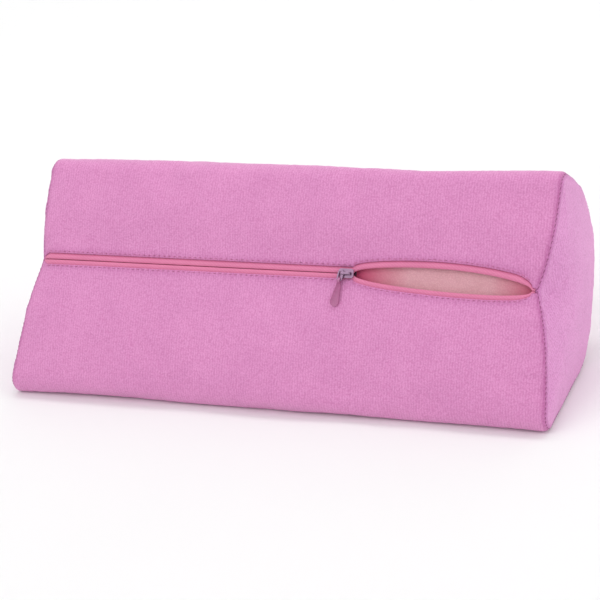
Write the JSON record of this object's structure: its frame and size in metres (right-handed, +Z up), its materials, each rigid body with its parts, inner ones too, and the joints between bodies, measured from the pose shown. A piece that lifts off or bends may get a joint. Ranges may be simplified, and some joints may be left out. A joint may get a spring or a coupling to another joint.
{
  "type": "padded hand rest wedge",
  "caption": "Terry-covered foam wedge with a round back, whose removable cover opens by a zip along its flat face.",
  "frame": {"origin": "on the floor, under the middle of the cushion as it rests on its flat lower flank", "axes": "+X along the zip towards its open end, +Z up, -Y the way the zip face looks; the face leans back 32 degrees"},
  "size_m": [0.3, 0.1132, 0.1152],
  "materials": {
    "terry": "looped cotton terry, matt",
    "foam": "open-cell polyurethane foam, matt",
    "thread": "sewing thread",
    "zip_tape": "woven polyester tape",
    "zip_coil": "nylon coil, satin",
    "slider_metal": "zinc die casting, nickel plated, lightly worn",
    "pull_enamel": "enamelled, satin gloss"
  },
  "bodies": {
    "root": {"foam_core": "foam", "wrap_panel": "terry", "end_panel_left": "terry", "end_panel_right": "terry", "seam_thread_left": "thread", "seam_thread_right": "thread", "seam_allowance_left": "terry", "seam_allowance_right": "terry", "zip_tape_upper": "zip_tape", "zip_tape_lower": "zip_tape", "zip_coil_upper": "zip_coil", "zip_coil_lower": "zip_coil", "zip_stitch_upper": "thread", "zip_stitch_lower": "thread"},
    "slider": {"slider_body": "slider_metal", "slider_bridge": "slider_metal"},
    "pull_link": {"pull_link": "slider_metal"},
    "pull_tab": {"pull_tab": "pull_enamel"}
  },
  "joints": [
    {"name": "zip_slide", "type": "slide", "parent": "root", "child": "slider", "axis": [1, 0, 0], "range_m": [-0.172, 0.095]},
    {"name": "pull_swing", "type": "hinge", "parent": "slider", "child": "pull_link", "pos_m": [0.03605, -0.02247, 0.07023], "axis": [0, -0.848, 0.5299], "range_deg": [-85, 30]},
    {"name": "pull_lift", "type": "hinge", "parent": "pull_link", "child": "pull_tab", "pos_m": [0.03535, -0.02456, 0.06689], "axis": [-0.9848, 0.092, 0.1473], "range_deg": [0, 140]}
  ]
}
